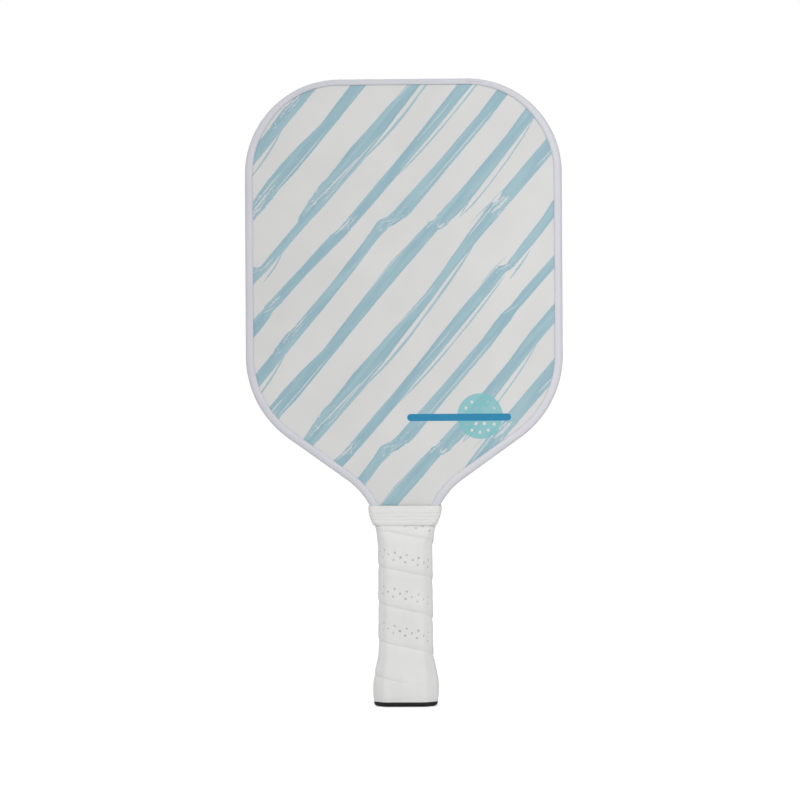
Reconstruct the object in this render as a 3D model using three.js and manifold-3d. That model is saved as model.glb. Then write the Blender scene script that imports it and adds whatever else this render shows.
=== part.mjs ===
// A pickleball paddle: a honeycomb core between two face sheets, an edge guard
// pushed round the rim, and a wrapped handle built on the core's own tang.
// Millimetres. +Z runs from the butt to the top edge, the front face looks
// towards -Y, and the origin is the centre of the butt cap's end face.
import * as THREE from 'three';
import { mergeVertices } from 'three/addons/utils/BufferGeometryUtils.js';
import Module from 'manifold-3d';

const wasm = await Module();
wasm.setup();

// ---- driving dimensions ----------------------------------------------------

const LENGTH = 401.5;
const HEAD_HALF_WIDTH = 101.6;
const TOP_RADIUS = 60.6;
const SHOULDER_RADIUS = 65.1;
const SHOULDER_Z = 190.9; // where the side and the shoulder line would cross
const SHOULDER_ANGLE = THREE.MathUtils.degToRad(54.4); // from the paddle's axis
const THROAT_RADIUS = 48;
const NECK_HALF_WIDTH = 17; // where the outline would end in the handle
const ARC_POINTS = 8; // half the straight pieces in one arc of the panel's edge

const GLUE_GAP = 0.15;

const CORE_HALF = 6.5;
const SHEET = 0.5;
const FILM = 0.15;
const SHEET_FACE = CORE_HALF + SHEET;
const FILM_FACE = SHEET_FACE + FILM;
const FILM_BOTTOM = 119.5;

const GUARD_WEB = 1.2;
const GUARD_LIP = 5.2; // reach over the face, from the outer edge
const GUARD_SLOT_HALF = FILM_FACE + GLUE_GAP;
const GUARD_HALF = 8.4;
const GUARD_BOTTOM = 119.3;
const GUARD_TURN = THREE.MathUtils.degToRad(6); // most that one step bends
const PANEL_INSET = GUARD_WEB + 0.3; // panel edge, in from the guard's outer edge
const FILM_INSET = PANEL_INSET + 0.4;

const TANG_BOTTOM = 4;
const TANG_HALF_WIDTH = NECK_HALF_WIDTH - PANEL_INSET;
const PALLET_HALF_DEPTH = 11.6;
const PALLET_TOP = 118.7;
const PALLET_TOP_HALF_DEPTH = 9.4;
const RAMP_BOTTOM = 103; // the handle thins from here up to the throat
const BEVEL = 4.3; // octagon corner of the bare handle
const TOP_BEVEL = 1.6;
const STEP_Z = 35; // the handle is stepped in below this, for the cap's skirt
const STEP_IN = 1.8;
const STEPPED_BEVEL = 2.6;

const CAP_FLOOR = 3.6;
const CAP_RIM_TOP = 2.9; // the band of the cap that stays in sight
const CAP_EDGE_RADIUS = 2.6;
const CAP_CAVITY_GAP = 0.3;
const RIM_BEVEL = 6.8;

const GRIP_HALF_WIDTH = 17.4;
const GRIP_HALF_DEPTH = 13.4;
const GRIP_BOTTOM = CAP_RIM_TOP + 0.1;
const GRIP_TOP = PALLET_TOP;
const GRIP_BEVEL = 5.6;
const GRIP_ROUND = 5;
const BARE_ROUND = 1; // of the octagons under the wrap
const BUTT_FLARE = 3.6; // added to each side at the butt
const FLARE_BEVEL_SHARE = 0.45; // the bevel's growth, as a share of the flare
const WRAP = 1.6;

const TAPE_BOTTOM = 116.2;
const TAPE_TOP = 126.4;
const TAPE = 0.25;

const COLLAR_BOTTOM = 115.4;
const COLLAR_TOP = 128.2;
const COLLAR_BOTTOM_HALF_WIDTH = 20;
const COLLAR_TOP_HALF_WIDTH = 23.2;
const COLLAR_TOP_HALF_DEPTH = 9.7;
const COLLAR_WALL = 0.8;
const COLLAR_RIBS = 3;
const COLLAR_RIBS_TOP = 123.4; // the band above the ribs is smooth
const RIB_HEIGHT = 0.4;

const STAPLE_CROWN = 9;
const STAPLE_WIRE = 0.6;
const CAP_STAPLE_LEG = 4;
const GRIP_STAPLE_LEG = 3.4;
const STAPLE_CLEARANCE = 0.3;

// A 45 degree bevel grows by this much for each unit that its solid grows.
const OFFSET_BEVEL = 2 - Math.SQRT2;

// ---- small helpers ---------------------------------------------------------

function smooth(value, low, high) {
  return THREE.MathUtils.smoothstep(value, low, high);
}

// Straight lines through the points, with an arc of the given radius at each
// inner point. A radius of 0 leaves the corner sharp.
function filletedPath(points, radii) {
  const path = new THREE.Path();
  path.moveTo(points[0].x, points[0].y);
  for (let i = 1; i < points.length - 1; i++) {
    const corner = points[i];
    const radius = radii[i - 1];
    if (radius === 0) {
      path.lineTo(corner.x, corner.y);
      continue;
    }
    const back = points[i - 1].clone().sub(corner).normalize();
    const ahead = points[i + 1].clone().sub(corner).normalize();
    const half = Math.acos(back.dot(ahead)) / 2;
    const start = corner.clone().addScaledVector(back, radius / Math.tan(half));
    const end = corner.clone().addScaledVector(ahead, radius / Math.tan(half));
    const middle = back.clone().add(ahead).normalize();
    const centre = corner.clone().addScaledVector(middle, radius / Math.sin(half));
    const from = start.clone().sub(centre).angle();
    const to = end.clone().sub(centre).angle();
    const clockwise = back.cross(ahead) > 0;
    path.lineTo(start.x, start.y);
    path.absarc(centre.x, centre.y, radius, from, to, clockwise);
  }
  const last = points[points.length - 1];
  path.lineTo(last.x, last.y);
  return path;
}

// A rounded octagon, anticlockwise seen from +Z: half width, half depth, the
// bevel's size along each side and the radius of its eight corners.
function octagon(halfWidth, halfDepth, bevel, round, z) {
  const w = halfWidth;
  const d = halfDepth;
  const corners = [
    [w, -(d - bevel)], [w, d - bevel], [w - bevel, d], [-(w - bevel), d],
    [-w, d - bevel], [-w, -(d - bevel)], [-(w - bevel), -d], [w - bevel, -d],
  ].map(([x, y]) => new THREE.Vector2(x, y));
  const radius = Math.min(round, 1.6 * bevel);
  const ring = [];
  corners.forEach((corner, i) => {
    const back = corners[(i + 7) % 8].clone().sub(corner).normalize();
    const ahead = corners[(i + 1) % 8].clone().sub(corner).normalize();
    const reach = radius * Math.tan(Math.PI / 8);
    const bulge = radius * (1 / Math.cos(Math.PI / 8) - 1);
    const middle = back.clone().add(ahead).normalize();
    ring.push(corner.clone().addScaledVector(back, reach));
    ring.push(corner.clone().addScaledVector(middle, bulge));
    ring.push(corner.clone().addScaledVector(ahead, reach));
  });
  return ring.map((p) => new THREE.Vector3(p.x, p.y, z));
}

// A closed skin over rings of equal length. An open stack gets an end cap at
// each end; a looped one joins its last ring to its first, which makes a tube.
function loft(rings, looped = false) {
  const size = rings[0].length;
  const index = [];
  const last = looped ? rings.length : rings.length - 1;
  for (let r = 0; r < last; r++) {
    const low = r * size;
    const high = ((r + 1) % rings.length) * size;
    for (let i = 0; i < size; i++) {
      const j = (i + 1) % size;
      index.push(low + i, low + j, high + j);
      index.push(low + i, high + j, high + i);
    }
  }
  if (!looped) {
    const flat = (ring) => ring.map((p) => new THREE.Vector2(p.x, p.y));
    const top = (rings.length - 1) * size;
    for (const [a, b, c] of THREE.ShapeUtils.triangulateShape(flat(rings[0]), [])) {
      index.push(a, c, b);
    }
    for (const [a, b, c] of THREE.ShapeUtils.triangulateShape(flat(rings.at(-1)), [])) {
      index.push(top + a, top + b, top + c);
    }
  }
  const geometry = new THREE.BufferGeometry().setFromPoints(rings.flat());
  geometry.setIndex(index);
  return geometry;
}

function heights(low, high, count) {
  return Array.from({ length: count + 1 }, (_, i) => low + ((high - low) * i) / count);
}

// A slab of the given outline, which lies in the XZ plane, between two depths.
function slab(shape, near, far) {
  const geometry = new THREE.ExtrudeGeometry(shape, {
    depth: far - near,
    bevelEnabled: false,
  });
  geometry.rotateX(Math.PI / 2);
  geometry.translate(0, far, 0);
  return geometry;
}

function block(low, high) {
  const size = high.map((v, i) => v - low[i]);
  const middle = high.map((v, i) => (v + low[i]) / 2);
  return new THREE.BoxGeometry(...size).translate(...middle);
}

function solidOf(geometry) {
  const bare = geometry.clone();
  bare.deleteAttribute('normal');
  bare.deleteAttribute('uv');
  const merged = mergeVertices(bare, 1e-4);
  return new wasm.Manifold(new wasm.Mesh({
    numProp: 3,
    vertProperties: new Float32Array(merged.attributes.position.array),
    triVerts: new Uint32Array(merged.index.array),
  }));
}

function geometryOf(solid) {
  const mesh = solid.getMesh();
  const geometry = new THREE.BufferGeometry();
  geometry.setAttribute('position', new THREE.BufferAttribute(mesh.vertProperties, 3));
  geometry.setIndex(new THREE.BufferAttribute(mesh.triVerts, 1));
  return geometry;
}

function cut(geometry, tools) {
  const rest = tools.reduce((left, tool) => left.subtract(solidOf(tool)), solidOf(geometry));
  return geometryOf(rest);
}

// ---- the outline -----------------------------------------------------------

// The rim, set in by a distance all round, from the left of the neck over the
// top to the right of the neck. The lower points continue it down each side.
function rimPath(inset, lowerPoints) {
  const side = HEAD_HALF_WIDTH - inset;
  const neck = NECK_HALF_WIDTH - inset;
  const drop = (HEAD_HALF_WIDTH - NECK_HALF_WIDTH) / Math.tan(SHOULDER_ANGLE);
  const rise = inset * Math.tan(SHOULDER_ANGLE / 2);
  const right = [
    new THREE.Vector2(side, LENGTH - inset),
    new THREE.Vector2(side, SHOULDER_Z + rise),
    new THREE.Vector2(neck, SHOULDER_Z - drop + rise),
    ...lowerPoints.map(([x, z]) => new THREE.Vector2(x, z)),
  ];
  const left = right.map((p) => new THREE.Vector2(-p.x, p.y)).reverse();
  const rounds = [TOP_RADIUS - inset, SHOULDER_RADIUS - inset, THROAT_RADIUS + inset];
  const sharp = lowerPoints.slice(1).map(() => 0);
  const radii = [...sharp, ...rounds.toReversed(), ...rounds, ...sharp];
  return filletedPath([...left, ...right], radii);
}

// The rim as a curve in space, with a stop at each end of a straight and at
// every few degrees of an arc, so that an extrusion bends only where it must.
class RimCurve extends THREE.Curve {
  constructor(path) {
    super();
    this.path = path;
    const ends = path.getCurveLengths();
    this.stops = [0];
    path.curves.forEach((curve, i) => {
      const from = this.stops.at(-1);
      const to = ends[i] / ends.at(-1);
      const turn = curve.xRadius ? curve.getLength() / curve.xRadius : 0;
      const pieces = Math.max(1, Math.ceil(turn / GUARD_TURN));
      this.stops.push(...heights(from, to, pieces).slice(1));
    });
  }

  getUtoTmapping(u) {
    return u;
  }

  getPoint(t, target = new THREE.Vector3()) {
    const place = t * (this.stops.length - 1);
    const i = Math.min(Math.floor(place), this.stops.length - 2);
    const along = THREE.MathUtils.lerp(this.stops[i], this.stops[i + 1], place - i);
    const p = this.path.getPoint(along);
    return target.set(p.x, 0, p.y);
  }
}

// Half width of the rim at a height in the throat or below it.
function neckHalfWidth(z, inset) {
  const drop = (HEAD_HALF_WIDTH - NECK_HALF_WIDTH) / Math.tan(SHOULDER_ANGLE);
  const radius = THROAT_RADIUS + inset;
  const corner = SHOULDER_Z - drop + inset * Math.tan(SHOULDER_ANGLE / 2);
  const arcBottom = corner - radius * Math.tan(SHOULDER_ANGLE / 2);
  const up = Math.max(0, z - arcBottom);
  return NECK_HALF_WIDTH - inset + radius - Math.sqrt(radius ** 2 - up ** 2);
}

function panelShape() {
  const narrow = TANG_HALF_WIDTH - STEP_IN;
  const path = rimPath(PANEL_INSET, [
    [TANG_HALF_WIDTH, STEP_Z],
    [narrow, STEP_Z],
    [narrow, TANG_BOTTOM],
  ]);
  return new THREE.Shape(path.getPoints(ARC_POINTS));
}

function filmShape() {
  const path = rimPath(FILM_INSET, [[NECK_HALF_WIDTH - FILM_INSET, STEP_Z]]);
  const points = path.getPoints(ARC_POINTS).filter((p) => p.y > FILM_BOTTOM);
  const edge = neckHalfWidth(FILM_BOTTOM, FILM_INSET);
  points.unshift(new THREE.Vector2(-edge, FILM_BOTTOM));
  points.push(new THREE.Vector2(edge, FILM_BOTTOM));
  return new THREE.Shape(points);
}

// ---- the handle's layers ---------------------------------------------------

// 0 along the grip, 1 where the handle has thinned into the throat.
function thinning(z) {
  return smooth(z, RAMP_BOTTOM, PALLET_TOP);
}

function palletHalfDepth(z) {
  return THREE.MathUtils.lerp(PALLET_HALF_DEPTH, PALLET_TOP_HALF_DEPTH, thinning(z));
}

function bareBevel(z) {
  return THREE.MathUtils.lerp(BEVEL, TOP_BEVEL, thinning(z));
}

function gripBevel(z) {
  return THREE.MathUtils.lerp(GRIP_BEVEL, TOP_BEVEL + 1, thinning(z));
}

// How far the butt's flare stands out at a height.
function flare(z) {
  const tuck = 0.6 * (1 - smooth(z, 1.5, 8));
  return BUTT_FLARE * (1 - smooth(z, 12, 37)) - tuck;
}

function gripHalfWidth(z) {
  const throat = 0.9 * smooth(z, 99, 113) + 1.3 * smooth(z, 110, 123);
  return GRIP_HALF_WIDTH + flare(z) + throat;
}

function gripHalfDepth(z) {
  return GRIP_HALF_DEPTH - (PALLET_HALF_DEPTH - palletHalfDepth(z)) + flare(z);
}

function gripRing(z, less = 0) {
  return octagon(
    gripHalfWidth(z) - less,
    gripHalfDepth(z) - less,
    gripBevel(z) + FLARE_BEVEL_SHARE * flare(z) - OFFSET_BEVEL * less,
    less > 0 ? BARE_ROUND : GRIP_ROUND,
    z,
  );
}

// The bare handle, or the cap that continues its line below the step.
function bareRing(z, more = 0) {
  if (z <= STEP_Z) {
    return gripRing(z, WRAP + GLUE_GAP - more);
  }
  return octagon(
    neckHalfWidth(z, PANEL_INSET) + more,
    palletHalfDepth(z) + more,
    bareBevel(z) + OFFSET_BEVEL * more,
    BARE_ROUND + more,
    z,
  );
}

function throatBevel(z) {
  return gripBevel(z) - smooth(z, GRIP_TOP - 6, GRIP_TOP);
}

// What the collar and the finishing tape close round: the wrap's end at the
// bottom, then the guard on the throat.
function throatRing(z, more) {
  const wrapWidth = gripHalfWidth(Math.min(z, GRIP_TOP));
  const guardWidth = neckHalfWidth(z, 0);
  const wrapDepth = gripHalfDepth(Math.min(z, GRIP_TOP));
  const depth = THREE.MathUtils.lerp(wrapDepth, GUARD_HALF, smooth(z, GRIP_TOP, GRIP_TOP + 3.5));
  return octagon(
    Math.max(wrapWidth, guardWidth) + more,
    depth + more,
    throatBevel(z) + OFFSET_BEVEL * more,
    2 + more,
    z,
  );
}

// ---- the pieces ------------------------------------------------------------

// The pallets and the wrap bend at the same levels where the handle thins.
const rampLevels = heights(RAMP_BOTTOM, PALLET_TOP, 7);

function palletGeometry(holes) {
  const ring = (z, halfWidth, halfDepth, bevel) => [
    [halfWidth, SHEET_FACE],
    [halfWidth, halfDepth - bevel],
    [halfWidth - bevel, halfDepth],
    [-(halfWidth - bevel), halfDepth],
    [-halfWidth, halfDepth - bevel],
    [-halfWidth, SHEET_FACE],
  ].map(([x, y]) => new THREE.Vector3(x, y, z));
  const stepped = (z) =>
    ring(z, TANG_HALF_WIDTH - STEP_IN, PALLET_HALF_DEPTH - STEP_IN, STEPPED_BEVEL);
  const full = (z) =>
    ring(z, neckHalfWidth(z, PANEL_INSET), palletHalfDepth(z), bareBevel(z));
  const rings = [
    stepped(TANG_BOTTOM),
    stepped(STEP_Z),
    full(STEP_Z),
    ...rampLevels.map(full),
  ];
  return cut(loft(rings), holes);
}

function guardGeometry() {
  const lip = GUARD_HALF - GUARD_SLOT_HALF;
  const right = [
    [GUARD_SLOT_HALF, GUARD_WEB],
    [GUARD_SLOT_HALF, GUARD_LIP],
    [GUARD_SLOT_HALF + 0.7 * lip, GUARD_LIP],
    [GUARD_HALF, GUARD_LIP - 0.7],
    [GUARD_HALF, 2.2],
    [GUARD_HALF - 0.6, 0.9],
    [GUARD_HALF - 2, 0.15],
    [GUARD_HALF - 4, 0],
  ].map(([depth, reach]) => new THREE.Vector2(depth, reach));
  const left = right.map((p) => new THREE.Vector2(-p.x, p.y)).reverse();
  const rim = new RimCurve(rimPath(0, [[NECK_HALF_WIDTH, GUARD_BOTTOM - 10]]));
  const strip = new THREE.ExtrudeGeometry(new THREE.Shape([...right, ...left]), {
    extrudePath: rim,
    steps: rim.stops.length - 1,
  });
  return cut(strip, [block([-40, -20, GUARD_BOTTOM - 40], [40, 20, GUARD_BOTTOM])]);
}

function capGeometry(pockets) {
  const foot = heights(0, 90, 4).map((degrees) => {
    const turn = THREE.MathUtils.degToRad(degrees);
    const z = CAP_EDGE_RADIUS * (1 - Math.cos(turn));
    const tuck = CAP_EDGE_RADIUS * (1 - Math.sin(turn));
    return octagon(
      gripHalfWidth(CAP_RIM_TOP) - tuck,
      gripHalfDepth(CAP_RIM_TOP) - tuck,
      RIM_BEVEL - OFFSET_BEVEL * tuck,
      GRIP_ROUND,
      z,
    );
  });
  const rimTop = gripRing(CAP_RIM_TOP).map((p, i) => p.set(foot.at(-1)[i].x, foot.at(-1)[i].y, p.z));
  const skirt = [CAP_RIM_TOP, 5, 8, 12, 16, 20, 24, 28, 32, STEP_Z - 0.2].map((z) => bareRing(z));
  const cavity = (z) => octagon(
    TANG_HALF_WIDTH - STEP_IN + CAP_CAVITY_GAP,
    PALLET_HALF_DEPTH - STEP_IN + CAP_CAVITY_GAP,
    STEPPED_BEVEL,
    0.6,
    z,
  );
  const shell = loft([...foot, rimTop, ...skirt]);
  const hollow = loft([cavity(CAP_FLOOR), cavity(STEP_Z + 5)]);
  return cut(shell, [hollow, ...pockets]);
}

function wrapGeometry() {
  const levels = [GRIP_BOTTOM, 5, 8, 12, 16, 20, 24, 28, 32, 37, 70, 99, ...rampLevels];
  const outside = levels.map((z) => gripRing(z));
  const inside = levels.filter((z) => z < STEP_Z).map((z) => gripRing(z, WRAP));
  inside.push(gripRing(STEP_Z, WRAP));
  levels.filter((z) => z > STEP_Z).forEach((z) => inside.push(bareRing(z, GLUE_GAP)));
  return loft([...outside, ...inside.reverse()], true);
}

// The tape and the collar's inside bend at the same levels, so they nest.
const tapeLevels = [TAPE_BOTTOM, 117.5, GRIP_TOP, 120, 121, 122.3, 124, TAPE_TOP];

function tapeGeometry() {
  const outside = tapeLevels.map((z) => throatRing(z, GLUE_GAP + TAPE));
  const inside = tapeLevels.map((z) => throatRing(z, GLUE_GAP));
  return loft([...outside, ...inside.reverse()], true);
}

function collarGeometry() {
  const bottomHalfDepth = gripHalfDepth(COLLAR_BOTTOM) + COLLAR_WALL + 2 * GLUE_GAP + TAPE;
  const ring = (z, rib) => {
    const along = (z - COLLAR_BOTTOM) / (COLLAR_TOP - COLLAR_BOTTOM);
    const swell = 1 - (1 - along) ** 1.7;
    const halfWidth = THREE.MathUtils.lerp(COLLAR_BOTTOM_HALF_WIDTH, COLLAR_TOP_HALF_WIDTH, swell);
    const halfDepth = THREE.MathUtils.lerp(bottomHalfDepth, COLLAR_TOP_HALF_DEPTH, along);
    return octagon(halfWidth + rib, halfDepth + rib, throatBevel(z) + 0.6, 3.2, z);
  };
  const ribbed = heights(COLLAR_BOTTOM, COLLAR_RIBS_TOP, COLLAR_RIBS * 4)
    .map((z, i) => ring(z, RIB_HEIGHT * Math.abs(Math.sin((Math.PI * i) / 4))));
  const band = heights(COLLAR_RIBS_TOP, COLLAR_TOP, 4)
    .map((z, i) => ring(z, RIB_HEIGHT * Math.sin((Math.PI * i) / 4)))
    .slice(1);
  const inside = [COLLAR_BOTTOM, ...tapeLevels].map((z) => throatRing(z, 2 * GLUE_GAP + TAPE));
  inside.push(throatRing(COLLAR_TOP, GLUE_GAP));
  return loft([...ribbed, ...band, ...inside.reverse()], true);
}

// A wire staple whose crown lies along X and whose legs point towards +Y.
function stapleParts(legLength, grow) {
  const half = STAPLE_CROWN / 2 + grow;
  const wire = STAPLE_WIRE / 2 + grow;
  const leg = (side) => block(
    [side * (STAPLE_CROWN / 2 - STAPLE_WIRE / 2) - wire, -STAPLE_WIRE, -wire],
    [side * (STAPLE_CROWN / 2 - STAPLE_WIRE / 2) + wire, legLength + grow, wire],
  );
  const crown = block([-half, -STAPLE_WIRE - 10 * grow, -wire], [half, grow, wire]);
  return [crown, leg(-1), leg(1)];
}

function stapleGeometry(legLength) {
  const [crown, ...legs] = stapleParts(legLength, 0).map(solidOf);
  return geometryOf(legs.reduce((whole, leg) => whole.add(leg), crown));
}

// ---- staples and the pockets they sit in -----------------------------------

const CAP_STAPLE_Z = 27;
const GRIP_STAPLE_Z = 9;
const STAPLE_DEPTH = 1.1; // crown's seat, in from the surface it is driven into

function placed(y, z, turn) {
  return new THREE.Matrix4()
    .makeRotationZ(turn)
    .multiply(new THREE.Matrix4().makeTranslation(0, y, z));
}

const skirtHalfDepth = gripHalfDepth(CAP_STAPLE_Z) - WRAP - GLUE_GAP;
const flareHalfWidth = gripHalfWidth(GRIP_STAPLE_Z) - WRAP - GLUE_GAP;
const staples = {
  cap_staple_front: {
    leg: CAP_STAPLE_LEG,
    matrix: placed(-skirtHalfDepth + STAPLE_DEPTH, CAP_STAPLE_Z, 0),
  },
  cap_staple_rear: {
    leg: CAP_STAPLE_LEG,
    matrix: placed(-skirtHalfDepth + STAPLE_DEPTH, CAP_STAPLE_Z, Math.PI),
  },
  grip_staple: {
    leg: GRIP_STAPLE_LEG,
    matrix: placed(-flareHalfWidth + STAPLE_DEPTH, GRIP_STAPLE_Z, Math.PI / 2),
  },
};

const pocketsOf = ({ leg, matrix }) =>
  stapleParts(leg, STAPLE_CLEARANCE).map((piece) => piece.applyMatrix4(matrix));
const allPockets = Object.values(staples).flatMap(pocketsOf);

// ---- materials -------------------------------------------------------------

function finish(color, roughness, metalness = 0) {
  return new THREE.MeshStandardMaterial({ color, roughness, metalness });
}

const honeycomb = finish('#e3e4e0', 0.55);
const laminate = finish('#4a4c4e', 0.4);
const printedFilm = finish('#d7d7d4', 0.45);
const guardPlastic = finish('#d2d2d9', 0.42);
const palletPlastic = finish('#9a9a96', 0.6);
const capPlastic = finish('#232322', 0.5);
const stapleSteel = finish('#a9abad', 0.35, 1);
const wrapLeatherette = finish('#dadad8', 0.6);
const vinylTape = finish('#e2e2e2', 0.4);
const collarRubber = finish('#dcdcdb', 0.55);

// ---- assembly --------------------------------------------------------------

const paddle = new THREE.Group();

function add(name, geometry, material) {
  const mesh = new THREE.Mesh(geometry, material);
  mesh.name = name;
  paddle.add(mesh);
  return mesh;
}

const panel = panelShape();
const film = filmShape();
add('core_panel', slab(panel, -CORE_HALF, CORE_HALF), honeycomb);
add('front_face_sheet', slab(panel, -SHEET_FACE, -CORE_HALF), laminate);
add('rear_face_sheet', slab(panel, CORE_HALF, SHEET_FACE), laminate.clone());
add('front_graphic_film', slab(film, -FILM_FACE, -SHEET_FACE), printedFilm);
add('rear_graphic_film', slab(film, SHEET_FACE, FILM_FACE), printedFilm.clone());
add('edge_guard', guardGeometry(), guardPlastic);

const rearPockets = pocketsOf(staples.cap_staple_rear);
const rearPallet = palletGeometry(rearPockets);
add('rear_handle_pallet', rearPallet, palletPlastic);
add('front_handle_pallet', rearPallet.clone().rotateZ(Math.PI), palletPlastic.clone());

add('butt_cap', capGeometry(allPockets), capPlastic);
for (const [name, { leg, matrix }] of Object.entries(staples)) {
  add(name, stapleGeometry(leg), stapleSteel.clone()).applyMatrix4(matrix);
}
add('grip_wrap', wrapGeometry(), wrapLeatherette);
add('finishing_tape', tapeGeometry(), vinylTape);
add('grip_collar', collarGeometry(), collarRubber);

export default paddle;
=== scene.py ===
import math

import bpy
import numpy as np
from mathutils import Matrix, Vector
from mathutils.geometry import delaunay_2d_cdt


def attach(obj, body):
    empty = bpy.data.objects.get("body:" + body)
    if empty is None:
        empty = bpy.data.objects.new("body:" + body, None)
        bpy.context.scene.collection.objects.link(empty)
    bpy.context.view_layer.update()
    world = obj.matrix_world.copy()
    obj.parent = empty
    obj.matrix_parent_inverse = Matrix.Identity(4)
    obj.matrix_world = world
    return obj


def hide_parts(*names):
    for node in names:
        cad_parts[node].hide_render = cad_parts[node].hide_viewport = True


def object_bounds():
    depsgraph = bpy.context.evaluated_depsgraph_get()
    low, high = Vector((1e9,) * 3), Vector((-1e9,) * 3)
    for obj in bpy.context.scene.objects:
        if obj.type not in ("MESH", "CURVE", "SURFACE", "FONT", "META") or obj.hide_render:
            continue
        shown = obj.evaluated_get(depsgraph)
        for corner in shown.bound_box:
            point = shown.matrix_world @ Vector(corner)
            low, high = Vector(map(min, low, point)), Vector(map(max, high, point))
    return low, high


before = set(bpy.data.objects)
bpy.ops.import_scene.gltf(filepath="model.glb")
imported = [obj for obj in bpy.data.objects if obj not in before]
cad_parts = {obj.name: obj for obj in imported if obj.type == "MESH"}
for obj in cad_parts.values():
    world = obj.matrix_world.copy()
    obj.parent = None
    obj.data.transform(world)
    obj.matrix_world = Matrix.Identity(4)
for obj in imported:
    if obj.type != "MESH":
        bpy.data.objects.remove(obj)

MM = 0.001
scene = bpy.context.scene
cad_low, cad_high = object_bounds()

# ---- sizes that the looks share with the CAD, in millimetres ----------------

LENGTH = 401.5
HEAD_HALF_WIDTH = 101.6
TOP_RADIUS = 60.6
SHOULDER_RADIUS = 65.1
SHOULDER_Z = 190.9
SHOULDER_ANGLE = math.radians(54.4)
THROAT_RADIUS = 48.0
NECK_HALF_WIDTH = 17.0

GUARD_HALF = 8.4
GUARD_SLOT_HALF = 7.3
GUARD_WEB = 1.2
GUARD_LIP = 5.2
GUARD_BOTTOM = 119.3

CAP_RIM_TOP = 2.9
CAP_EDGE_RADIUS = 2.6
CAP_FLOOR = 3.6
RIM_BEVEL = 6.8
STEP_Z = 35.0
GRIP_BOTTOM = 3.0
GRIP_TOP = 118.7
GRIP_HALF_WIDTH = 17.4
GRIP_HALF_DEPTH = 13.4
GRIP_BEVEL = 5.6
WRAP = 1.6
GAP = 0.15
TAPE = 0.25
COLLAR_BOTTOM = 115.4
COLLAR_TOP = 128.2
OFFSET_BEVEL = 2 - math.sqrt(2)


def smooth(value, low, high):
    t = np.clip((value - low) / (high - low), 0, 1)
    return t * t * (3 - 2 * t)


def thinning(z):
    return smooth(z, 103, 118.7)


def flare(z):
    return 3.6 * (1 - smooth(z, 12, 37)) - 0.6 * (1 - smooth(z, 1.5, 8))


def grip_half_width(z):
    return GRIP_HALF_WIDTH + flare(z) + 0.9 * smooth(z, 99, 113) + 1.3 * smooth(z, 110, 123)


def grip_half_depth(z):
    return GRIP_HALF_DEPTH - 2.2 * thinning(z) + flare(z)


def grip_bevel(z):
    return GRIP_BEVEL + (2.6 - GRIP_BEVEL) * thinning(z) + 0.45 * flare(z)


def neck_half_width(z, inset):
    drop = (HEAD_HALF_WIDTH - NECK_HALF_WIDTH) / math.tan(SHOULDER_ANGLE)
    radius = THROAT_RADIUS + inset
    corner = SHOULDER_Z - drop + inset * math.tan(SHOULDER_ANGLE / 2)
    up = max(0.0, z - (corner - radius * math.tan(SHOULDER_ANGLE / 2)))
    return NECK_HALF_WIDTH - inset + radius - math.sqrt(radius ** 2 - up ** 2)


# ---- mesh helpers -----------------------------------------------------------

def noise_field(seed, cells_x, cells_y, wrap=False):
    """A smooth random height, looked up with coordinates in cells."""
    table = np.random.default_rng(seed).uniform(-1, 1, (cells_x + 1, cells_y + 1))
    if wrap:
        table[-1] = table[0]

    def look_up(x, y):
        x = np.mod(x, cells_x) if wrap else np.clip(x, 0, cells_x - 1e-6)
        y = np.clip(y, 0, cells_y - 1e-6)
        i, j = x.astype(int), y.astype(int)
        a, b = x - i, y - j
        a, b = a * a * (3 - 2 * a), b * b * (3 - 2 * b)
        low = table[i, j] * (1 - a) + table[i + 1, j] * a
        high = table[i, j + 1] * (1 - a) + table[i + 1, j + 1] * a
        return low * (1 - b) + high * b

    return look_up


def octagon(half_width, half_depth, bevel, rounding, z, arc=6, flat=4):
    """A rounded octagon, anticlockwise seen from above."""
    w, d = half_width, half_depth
    corners = np.array([
        [w, -(d - bevel)], [w, d - bevel], [w - bevel, d], [-(w - bevel), d],
        [-w, d - bevel], [-w, -(d - bevel)], [-(w - bevel), -d], [w - bevel, -d],
    ])
    radius = min(rounding, 1.6 * bevel)
    arcs = []
    for i, corner in enumerate(corners):
        back = corners[i - 1] - corner
        ahead = corners[(i + 1) % 8] - corner
        back, ahead = back / np.linalg.norm(back), ahead / np.linalg.norm(ahead)
        middle = (back + ahead) / np.linalg.norm(back + ahead)
        centre = corner + middle * radius / math.cos(math.pi / 8)
        start = corner + back * radius * math.tan(math.pi / 8) - centre
        first = math.atan2(start[1], start[0])
        turns = first + np.linspace(0, math.pi / 4, arc + 1)
        arcs.append(centre + radius * np.c_[np.cos(turns), np.sin(turns)])
    ring = []
    for i, points in enumerate(arcs):
        ahead = arcs[(i + 1) % 8][0]
        share = np.linspace(0, 1, flat + 1)[1:-1, None]
        ring.extend([points, points[-1] + (ahead - points[-1]) * share])
    ring = np.vstack(ring)
    return np.c_[ring, np.full(len(ring), z)]


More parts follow.
